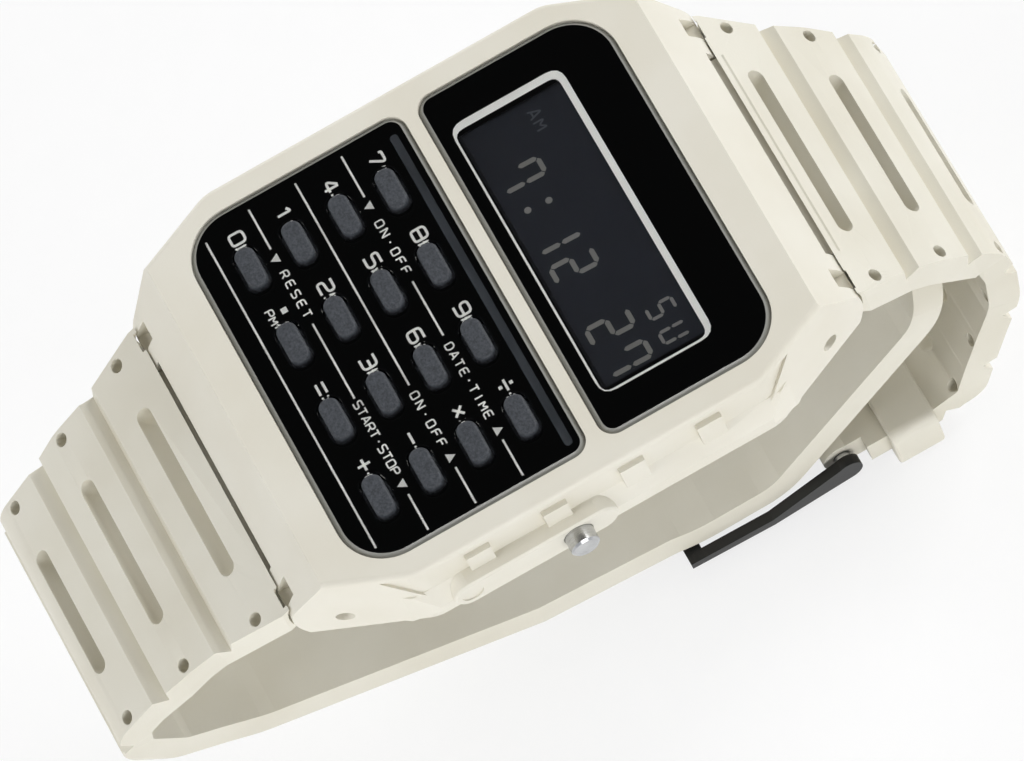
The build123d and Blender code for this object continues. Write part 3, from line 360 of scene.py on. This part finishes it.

# %% [markdown]
# ## Lens, black film and display
# The two lenses are clear acrylic over a black printed film. The film is ink, deep and
# slightly glossy. The display is a dark, blue-black cell whose lit segments are only a
# little lighter than the ground, so it needs two quiet tones and a satin film on top.
# The bevelled rim of each lens is drawn in opaque grey, painted light that stands in for the
# pale case wall seen through the bevel. The rim is found by its height: it lies just below
# the flat top. The field of key holes is left out.

# %% Lens, inks and display materials
KEY_FIELD_HALF_X = 13.0 * MM
KEY_FIELD_Y = -7.2 * MM
KEY_FIELD_HALF_Y = 7.7 * MM
RIM_MIDDLE_Z = 7.825 * MM
RIM_HALF_Z = 0.165 * MM
WAVE_SIZE = 6.0 * MM
acrylic, acrylic_out, acrylic_place = new_material("clear_polished_acrylic")
acrylic_wave = add_node(
    acrylic, "TexNoise", inputs=[("Scale", 1 / WAVE_SIZE), ("Detail", 1.0)],
    links=[("Vector", acrylic_place)],
)
acrylic_bump = add_node(
    acrylic, "Bump", inputs=[("Strength", 0.05), ("Distance", 0.01 * MM)],
    links=[("Height", acrylic_wave.outputs[0])],
)
acrylic_skin = add_node(
    acrylic, "BsdfPrincipled",
    inputs=[
        ("Base Color", linear("fbfcfc")), ("Roughness", 0.02), ("IOR", 1.49),
        ("Transmission Weight", 1.0),
    ],
    links=[("Normal", acrylic_bump.outputs[0])],
)
# Opaque grey on the rim: painted light in place of the pale case seen through the bevel
painted_rim_light = add_node(
    acrylic, "BsdfPrincipled", inputs=[("Base Color", linear("8f8f8a")), ("Roughness", 0.35)]
)
rim_spot = add_node(acrylic, "SeparateXYZ", links=[("Vector", acrylic_place)])
rim_high = add_node(
    acrylic, "Math", settings=[("operation", "COMPARE")],
    inputs=[(1, RIM_MIDDLE_Z), (2, RIM_HALF_Z)],
    links=[(0, rim_spot.outputs["Z"])],
)
rim_across = add_node(
    acrylic, "Math", settings=[("operation", "COMPARE")],
    inputs=[(1, 0.0), (2, KEY_FIELD_HALF_X)],
    links=[(0, rim_spot.outputs["X"])],
)
rim_along = add_node(
    acrylic, "Math", settings=[("operation", "COMPARE")],
    inputs=[(1, KEY_FIELD_Y), (2, KEY_FIELD_HALF_Y)],
    links=[(0, rim_spot.outputs["Y"])],
)
rim_in_field = add_node(
    acrylic, "Math", settings=[("operation", "MULTIPLY")],
    links=[(0, rim_across.outputs[0]), (1, rim_along.outputs[0])],
)
painted_rim_light_share = add_node(
    acrylic, "Math", settings=[("operation", "SUBTRACT"), ("use_clamp", True)],
    links=[(0, rim_high.outputs[0]), (1, rim_in_field.outputs[0])],
)
acrylic_mix = add_node(
    acrylic, "MixShader",
    links=[
        ("Fac", painted_rim_light_share.outputs[0]), (1, acrylic_skin.outputs[0]), (2, painted_rim_light.outputs[0]),
    ],
)
show(acrylic, acrylic_out, acrylic_mix)

black_ink = grained_plastic("black_screen_ink", "070708", "050506", 0.4, 0.2, 0.002)
white_ink = grained_plastic("white_screen_ink_with_painted_glow", "eeeeea", "e6e6e1", 0.55, 0.1, 0.002)
# The renderer loses some light where it bends through a lens, so the white ink is given a faint
# glow: painted light.
WHITE_INK_PAINTED_GLOW = 0.22
white_skin = white_ink.node_tree.nodes["Principled BSDF"]
white_skin.inputs["Emission Color"].default_value = linear("eeeeea")
white_skin.inputs["Emission Strength"].default_value = WHITE_INK_PAINTED_GLOW
slate_ink = grained_plastic("slate_screen_ink", "4a4f57", "43484f", 0.5, 0.1, 0.002)
display_glass = grained_plastic("blue_black_display_glass", "1d212c", "1a1e28", 0.3, 0.5, 0.001)
polariser = grained_plastic("blue_black_polariser_film", "20242f", "1d212b", 0.38, 0.1, 0.001)
faint_segment_ink = grained_plastic("faint_display_segments", "565960", "50535a", 0.45, 0.1, 0.001)
segment_ink = grained_plastic("grey_display_segments", "989692", "918f8a", 0.45, 0.1, 0.001)

# %% [markdown]
# ## Dress the CAD nodes
# Each CAD part keeps its own mesh and gets the material of the real piece by name.

# %% Materials for the CAD nodes
finish_of = {
    moulded_resin: ["case"],
    strap_resin: ["strap_long", "strap_short", "keeper"],
    buckle_nylon: ["buckle_frame", "buckle_tongue"],
    acrylic: ["display_lens", "keypad_lens"],
    black_ink: ["display_mask", "keypad_mask"],
    white_tape: ["display_tape", "keypad_tape"],
    key_coat: [name for name in nodes if name.startswith("key_") and name != "key_sheet"],
    seal_rubber: [
        "key_sheet", "lcd_connector_low", "lcd_connector_high", "case_gasket",
        "mode_button_seal", "adjust_button_seal",
    ],
    frame_nylon: ["upper_frame", "lower_frame"],
    display_glass: ["lcd_cell"],
    polariser: ["lcd_polariser"],
    board_laminate: ["circuit_board"],
    epoxy_drop: ["chip_blob"],
    brushed_steel: ["case_back", "battery_clip", "battery_contact", "quartz_crystal"],
    turned_steel: [
        "mode_button", "adjust_button", "mode_button_clip", "adjust_button_clip",
        "mode_button_spring", "adjust_button_spring", "spring_bar_6", "spring_bar_12", "buckle_pin",
        "back_screw_1", "back_screw_2", "back_screw_3", "back_screw_4",
    ],
    nickel_can: ["battery"],
    piezo_brass: ["piezo_disc"],
    clear_sheet: ["insulator_sheet"],
}
for material, names in finish_of.items():
    for name in names:
        nodes[name].data.materials.clear()
        nodes[name].data.materials.append(material)
dressed = sorted(name for names in finish_of.values() for name in names)
print("nodes without a finish:", sorted(set(nodes) - set(dressed)))

# %% [markdown]
# ## Soft edges on the moulded pieces
# No moulded edge is truly sharp. A Weld modifier joins the CAD mesh's loose triangles and
# a Bevel modifier rounds every edge that turns by more than its angle limit. The radius
# is a real one for such mouldings.

# %% Rounded edges by modifiers
EDGE_RADIUS_MM = {
    "case": 0.18, "strap_long": 0.25, "strap_short": 0.25,
    "keeper": 0.2, "buckle_frame": 0.2, "buckle_tongue": 0.15,
}
EDGE_SEGMENTS = 2
EDGE_ANGLE = radians(32)
WELD_DISTANCE = 0.002 * MM
for name, radius in EDGE_RADIUS_MM.items():
    weld = nodes[name].modifiers.new("weld", "WELD")
    weld.merge_threshold = WELD_DISTANCE
    soften = nodes[name].modifiers.new("soften", "BEVEL")
    soften.width = radius * MM
    soften.segments = EDGE_SEGMENTS
    soften.limit_method = "ANGLE"
    soften.angle_limit = EDGE_ANGLE

# %% [markdown]
# ## Printed marks
# White marks are screen printed on the film behind the lens. Each figure stands to the
# left of its key, and fine lines tie the rows together. The lettering is square with
# rounded corners, so it is drawn as a pen of even width would draw it: each letter is a
# few runs of points in a box one unit wide and one unit high. The lens bends the view, so
# that from the camera a mark seems to lie nearer 3 o'clock than it does. The marks are
# printed a third of a millimetre further to the left for that.

# %% Letters as runs of points
LETTERS = {
    "0": (((0.5, 0), (1, 0), (1, 1), (0, 1), (0, 0), (0.5, 0)),),
    "1": (((0.25, 0.74), (0.62, 1), (0.62, 0)),),
    "2": (((0, 1), (1, 1), (1, 0.52), (0, 0.44), (0, 0), (1, 0)),),
    "3": (((0, 1), (1, 1), (1, 0), (0, 0)), ((0.3, 0.52), (1, 0.52))),
    "4": (((0.72, 0), (0.72, 1)), ((0.62, 1), (0, 0.3), (1, 0.3))),
    "5": (((1, 1), (0, 1), (0, 0.56), (1, 0.56), (1, 0), (0, 0)),),
    "6": (((1, 1), (0, 1), (0, 0), (1, 0), (1, 0.56), (0, 0.56)),),
    "7": (((0, 0.8), (0, 1), (1, 1), (0.3, 0)),),
    "8": (((0.5, 0), (1, 0), (1, 1), (0, 1), (0, 0), (0.5, 0)), ((0, 0.52), (1, 0.52))),
    "9": (((0, 0), (1, 0), (1, 1), (0, 1), (0, 0.44), (1, 0.44)),),
    "A": (((0, 0), (0.45, 1), (0.55, 1), (1, 0)), ((0.16, 0.3), (0.84, 0.3))),
    "D": (((0.4, 0), (0, 0), (0, 1), (0.75, 1), (1, 0.7), (1, 0.3), (0.75, 0), (0.4, 0)),),
    "E": (((1, 1), (0, 1), (0, 0), (1, 0)), ((0, 0.52), (0.85, 0.52))),
    "F": (((1, 1), (0, 1), (0, 0)), ((0, 0.52), (0.85, 0.52))),
    "I": (((0.5, 0), (0.5, 1)),),
    "M": (((0, 0), (0, 1), (0.5, 0.35), (1, 1), (1, 0)),),
    "N": (((0, 0), (0, 1), (0.08, 1), (0.92, 0), (1, 0), (1, 1)),),
    "O": (((0.5, 0), (1, 0), (1, 1), (0, 1), (0, 0), (0.5, 0)),),
    "P": (((0, 0), (0, 1), (1, 1), (1, 0.46), (0, 0.46)),),
    "R": (((0, 0), (0, 1), (1, 1), (1, 0.46), (0, 0.46)), ((0.55, 0.46), (1, 0))),
    "S": (((1, 1), (0, 1), (0, 0.54), (1, 0.46), (1, 0), (0, 0)),),
    "T": (((0, 1), (1, 1)), ((0.5, 1), (0.5, 0))),
    "·": (((0.36, 0.5), (0.64, 0.5)),),
}

# %% Where the print lies, and the pen
PRINT_LIFT = 0.012 * MM
LENS_SHIFT = -0.33
CORNER_SHARE = 0.3
CORNER_STEPS = 4
film_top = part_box("keypad_mask")[1].z + PRINT_LIFT


def finish_piece(name, mesh, material):
    """Turns a bmesh into an object at the origin that rides on the case."""
    data = bpy.data.meshes.new(name)
    mesh.to_mesh(data)
    mesh.free()
    data.materials.append(material)
    piece = bpy.data.objects.new(name, data)
    scene.collection.objects.link(piece)
    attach(piece, "case_head")
    return piece


def print_vert(mesh, point):
    """Adds a corner of the print at a plan place in millimetres, shifted for the lens."""
    return mesh.verts.new(((point.x + LENS_SHIFT) * MM, point.y * MM, film_top))


def round_corners(corners, reach):
    """Replaces each inner corner of a run of points with a short curve."""
    points = [Vector(corner) for corner in corners]
    path = [points[0]]
    for before, corner, after in zip(points, points[1:], points[2:]):
        cut = min(reach, (before - corner).length / 2, (after - corner).length / 2)
        start = corner + (before - corner).normalized() * cut
        end = corner + (after - corner).normalized() * cut
        for step in range(CORNER_STEPS + 1):
            share = step / CORNER_STEPS
            path.append(start.lerp(corner, share).lerp(corner.lerp(end, share), share))
    path.append(points[-1])
    return path


def draw_run(mesh, path, pen):
    """Adds a flat ribbon as wide as the pen along a path in millimetres."""
    sides = []
    for index, point in enumerate(path):
        before = path[max(index - 1, 0)]
        after = path[min(index + 1, len(path) - 1)]
        along = (after - before).normalized()
        across = Vector((-along.y, along.x)) * pen / 2
        sides.append((print_vert(mesh, point + across), print_vert(mesh, point - across)))
    for (left, right), (next_left, next_right) in zip(sides, sides[1:]):
        mesh.faces.new((left, right, next_right, next_left))


def write_words(mesh, words, x, y, wide, tall, pitch, pen):
    """Writes a row of letters centred on (x, y), whose pen lines span the given box."""
    first = x - (len(words) - 1) * pitch / 2
    for place, letter in enumerate(words):
        middle = first + place * pitch
        for run in LETTERS[letter]:
            corners = [
                (middle + (across - 0.5) * wide, y + (up - 0.5) * tall) for across, up in run
            ]
            draw_run(mesh, round_corners(corners, CORNER_SHARE * tall), pen)


def draw_bar(mesh, start, end, pen):
    """Adds one straight printed bar between two points in millimetres."""
    draw_run(mesh, [Vector(start), Vector(end)], pen)


# %% Figures and signs beside the keys
LABEL_OFFSET = -2.52
LABEL_UP = 0.14
FIGURE_WIDE = 0.86
FIGURE_TALL = 1.0
FIGURE_PEN = 0.19
SIGN_HALF = 0.45
DIVIDE_DOT_UP = 0.4
DIVIDE_DOT_HALF = 0.13
EQUALS_HALF_GAP = 0.24
POINT_HALF = 0.22
POINT_UP = 0.4


def label_place(key):
    """Gives the middle of the mark that belongs to a key, in millimetres."""
    low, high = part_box("key_" + key)
    across = (low.x + high.x) / 2 / MM + LABEL_OFFSET
    up = (low.y + high.y) / 2 / MM + LABEL_UP
    return Vector((across, up))


figures = bmesh.new()
for figure in "0123456789":
    middle = label_place(figure)
    write_words(figures, figure, middle.x, middle.y, FIGURE_WIDE, FIGURE_TALL, 0.0, FIGURE_PEN)

# key, then the half run of each bar of its sign and how far up the bar lies
flat = Vector((SIGN_HALF, 0.0))
rise = Vector((0.0, SIGN_HALF))
SIGN_BARS = {
    "plus": ((flat, 0.0), (rise, 0.0)),
    "minus": ((flat, 0.0),),
    "equals": ((flat, EQUALS_HALF_GAP), (flat, -EQUALS_HALF_GAP)),
    "times": (((flat + rise) / sqrt(2), 0.0), ((flat - rise) / sqrt(2), 0.0)),
    "divide": ((flat, 0.0),),
}
for key, bars in SIGN_BARS.items():
    for half_run, up in bars:
        middle = label_place(key) + Vector((0.0, up))
        draw_bar(figures, middle - half_run, middle + half_run, FIGURE_PEN)
for up in (DIVIDE_DOT_UP, -DIVIDE_DOT_UP):
    middle = label_place("divide") + Vector((0.0, up))
    half_run = Vector((DIVIDE_DOT_HALF, 0.0))
    draw_bar(figures, middle - half_run, middle + half_run, 2 * DIVIDE_DOT_HALF)
middle = label_place("point") + Vector((0.0, POINT_UP))
half_run = Vector((POINT_HALF, 0.0))
draw_bar(figures, middle - half_run, middle + half_run, 2 * POINT_HALF)
finish_piece("print_figures", figures, white_ink)

# %% Lines, pointers and switch words
LINE_PEN = 0.15
POINTER_REACH = 0.42
WORD_WIDE = 0.46
WORD_TALL = 0.58
WORD_PEN = 0.12
# y, then the runs of x that the line covers
ROW_LINES = (
    (-14.38, ((-12.84, 13.09),)),
    (-10.80, ((-13.44, -9.99), (-3.6, 2.78), (10.81, 13.79))),
    (-7.22, ((-13.44, 3.9), (10.8, 13.81))),
    (-3.63, ((-13.5, -9.95), (-2.7, 1.94), (10.73, 13.74))),
)
lines = bmesh.new()
for y, runs in ROW_LINES:
    for low_x, high_x in runs:
        draw_bar(lines, (low_x, y), (high_x, y), LINE_PEN)

# x, y and 1 for a pointer that points up or -1 for one that points down
POINTERS = (
    (-9.18, -3.63, -1), (-9.18, -10.80, -1), (9.97, -10.80, -1),
    (9.97, -3.63, 1), (9.97, -7.22, 1),
)
POINTER_CORNERS = [radians(degrees) for degrees in (90, 210, 330)]
for x, y, way in POINTERS:
    reach = POINTER_REACH * way
    corners = [Vector((x + reach * cos(turn), y + reach * sin(turn))) for turn in POINTER_CORNERS]
    lines.faces.new([print_vert(lines, corner) for corner in corners])

# words, x, y and the pitch of their letters
SWITCH_WORDS = (
    ("ON·OFF", -5.65, -3.63, 0.8),
    ("DATE·TIME", 5.75, -3.63, 0.72),
    ("ON·OFF", 6.75, -7.22, 0.8),
    ("RESET", -6.15, -10.80, 0.85),
    ("PM", -5.5, -12.98, 0.62),
    ("START·STOP", 6.1, -10.80, 0.62),
)
for words, x, y, pitch in SWITCH_WORDS:
    write_words(lines, words, x, y, WORD_WIDE, WORD_TALL, pitch, WORD_PEN)
finish_piece("print_lines", lines, white_ink)

# %% Slate bar and the white frame round the window
def box_loop(low, high, radius):
    """Gives the outline of a rectangle with rounded corners, from halfway along its low side."""
    middle = ((low[0] + high[0]) / 2, low[1])
    corners = (middle, (high[0], low[1]), high, (low[0], high[1]), low, middle)
    return round_corners(corners, radius)[:-1]


SLATE_BAR = ((-13.0, -0.25), (13.5, 0.35))
SLATE_RADIUS = 0.3
slate = bmesh.new()
slate.faces.new([print_vert(slate, point) for point in box_loop(*SLATE_BAR, SLATE_RADIUS)])
finish_piece("print_slate_bar", slate, slate_ink)

FRAME_OUTER = ((-11.4, 3.5), (11.6, 12.05))
FRAME_INNER = ((-10.8, 3.66), (11.43, 11.55))
FRAME_OUTER_RADIUS = 1.1
FRAME_INNER_RADIUS = 0.7
surround = bmesh.new()
outer_loop = box_loop(*FRAME_OUTER, FRAME_OUTER_RADIUS)
inner_loop = box_loop(*FRAME_INNER, FRAME_INNER_RADIUS)
outer = [print_vert(surround, point) for point in outer_loop]
inner = [print_vert(surround, point) for point in inner_loop]
for place in range(len(outer)):
    surround.faces.new((outer[place - 1], outer[place], inner[place], inner[place - 1]))
finish_piece("print_window_frame", surround, white_ink)

# %% [markdown]
# ## Display segments
# Each figure of the display is built from seven bars with pointed ends, leaning a little
# to the right. They lie just above the polariser, in grey on blue-black.

# %% Seven-segment figures
SEGMENTS_OF = {
    "0": "abcdef", "1": "bc", "2": "abged", "3": "abgcd", "4": "fgbc", "5": "afgcd",
    "6": "afgecd", "7": "abcf", "8": "abcdefg", "9": "abcdfg", "U": "bcdef",
}
LEAN = 0.025
SEGMENT_GAP_SHARE = 0.12
segment_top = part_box("lcd_polariser")[1].z + PRINT_LIFT


def add_segment(mesh, start, end, half_width):
    """Adds one bar with pointed ends between two points in millimetres."""
    run = Vector(end) - Vector(start)
    side = Vector((-run.y, run.x)).normalized() * half_width
    along = run.normalized() * half_width
    a, b = Vector(start), Vector(end)
    outline = (a, a + along + side, b - along + side, b, b - along - side, a + along - side)
    corners = [mesh.verts.new((p.x * MM, p.y * MM, segment_top)) for p in outline]
    mesh.faces.new(corners)


def add_figure(mesh, figure, x, y, width, height, thick):
    """Adds one seven-segment figure centred on (x, y)."""
    half_w = width / 2 - thick / 2
    half_h = height / 2 - thick / 2
    gap = thick * SEGMENT_GAP_SHARE
    rows = {"top": half_h, "mid": 0.0, "low": -half_h}

    def corner(side, row):
        return (x + side * half_w + LEAN * rows[row], y + rows[row])

    ends = {
        "a": (corner(-1, "top"), corner(1, "top")), "g": (corner(-1, "mid"), corner(1, "mid")),
        "d": (corner(-1, "low"), corner(1, "low")), "f": (corner(-1, "mid"), corner(-1, "top")),
        "b": (corner(1, "mid"), corner(1, "top")), "e": (corner(-1, "low"), corner(-1, "mid")),
        "c": (corner(1, "low"), corner(1, "mid")),
    }
    for letter in SEGMENTS_OF[figure]:
        start, end = (Vector(p) for p in ends[letter])
        inset = (end - start).normalized() * gap
        add_segment(mesh, start + inset, end - inset, thick / 2)


digits = bmesh.new()
# figure, x, y, width, height, bar thickness
FIGURES = (
    ("7", -6.02, 6.2, 1.62, 3.34, 0.36),
    ("1", -0.78, 6.2, 1.62, 3.34, 0.36),
    ("2", 1.76, 6.2, 1.62, 3.34, 0.36),
    ("2", 7.02, 6.2, 1.66, 3.34, 0.36),
    ("7", 9.62, 6.2, 1.62, 3.34, 0.36),
    ("5", 7.65, 9.73, 1.14, 2.08, 0.24),
    ("U", 9.65, 9.69, 1.14, 2.08, 0.24),
)
for figure in FIGURES:
    add_figure(digits, *figure)
COLON_DOTS = ((-3.39, 6.93), (-3.51, 5.38))
COLON_RADIUS = 0.25 * MM
COLON_SIDES = 16
for dot_x, dot_y in COLON_DOTS:
    made = bmesh.ops.create_circle(
        digits, cap_ends=True, segments=COLON_SIDES, radius=COLON_RADIUS
    )["verts"]
    bmesh.ops.translate(digits, verts=made, vec=(dot_x * MM, dot_y * MM, segment_top))
finish_piece("display_digits", digits, segment_ink)

# %% Faint letters at the corner of the display
FAINT_LETTERS = ("AM", -9.1, 9.0)
FAINT_WIDE = 0.62
FAINT_TALL = 0.85
FAINT_PITCH = 0.95
FAINT_PEN = 0.13
letters = bmesh.new()
write_words(letters, *FAINT_LETTERS, FAINT_WIDE, FAINT_TALL, FAINT_PITCH, FAINT_PEN)
bmesh.ops.translate(
    letters, verts=letters.verts, vec=(-LENS_SHIFT * MM, 0, segment_top - film_top)
)
finish_piece("display_letters", letters, faint_segment_ink)
